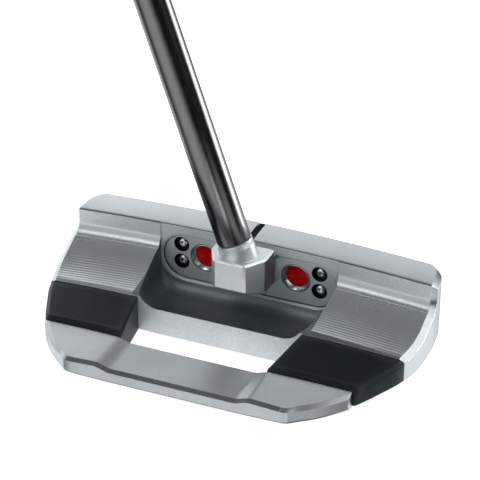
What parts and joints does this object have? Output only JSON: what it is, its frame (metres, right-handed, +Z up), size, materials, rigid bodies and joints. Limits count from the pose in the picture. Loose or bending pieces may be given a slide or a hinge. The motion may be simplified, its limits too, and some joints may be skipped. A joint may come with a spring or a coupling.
{
  "type": "mallet putter",
  "caption": "Mallet golf putter with fluted milled wings, black side blocks, open rear rail, plate hosel with boss, round weights, straight shaft and pistol grip.",
  "frame": {"origin": "on the flat middle of the sole, directly under the hosel block, with the club standing as at address", "axes": "+Z up, +Y the way the face looks, +X toward the toe; the shaft rises toward -X in the plane y = 0"},
  "size_m": [0.339, 0.0643, 0.8192],
  "materials": {
    "head_steel": "satin, bead blasted, with milled flutes",
    "rail_steel": "satin bead blasted",
    "hosel_steel": "satin, turned boss",
    "black_aluminium": "black anodised, fine brushed grain",
    "paint_fill": "black paint fill",
    "screw_chrome": "polished",
    "weight_chrome": "polished, turned recess",
    "red_disc": "red tinted spun metal",
    "shaft_black": "gloss black",
    "grip_rubber": "matt, fine cord pattern",
    "cap_rubber": "smooth matt"
  },
  "bodies": {
    "root": {"front_body": "head_steel", "side_block_heel": "black_aluminium", "side_block_toe": "black_aluminium", "rear_rail": "rail_steel", "hosel": "hosel_steel", "sight_line_fill": "paint_fill", "hosel_screw_heel_upper": "screw_chrome", "hosel_screw_heel_lower": "screw_chrome", "weight_heel": "weight_chrome", "weight_disc_heel": "red_disc", "sole_screw_front_heel": "screw_chrome", "sole_screw_rear_heel": "screw_chrome", "hosel_screw_toe_upper": "screw_chrome", "hosel_screw_toe_lower": "screw_chrome", "weight_toe": "weight_chrome", "weight_disc_toe": "red_disc", "sole_screw_front_toe": "screw_chrome", "sole_screw_rear_toe": "screw_chrome", "shaft": "shaft_black", "grip": "grip_rubber", "grip_cap": "cap_rubber"}
  },
  "joints": []
}
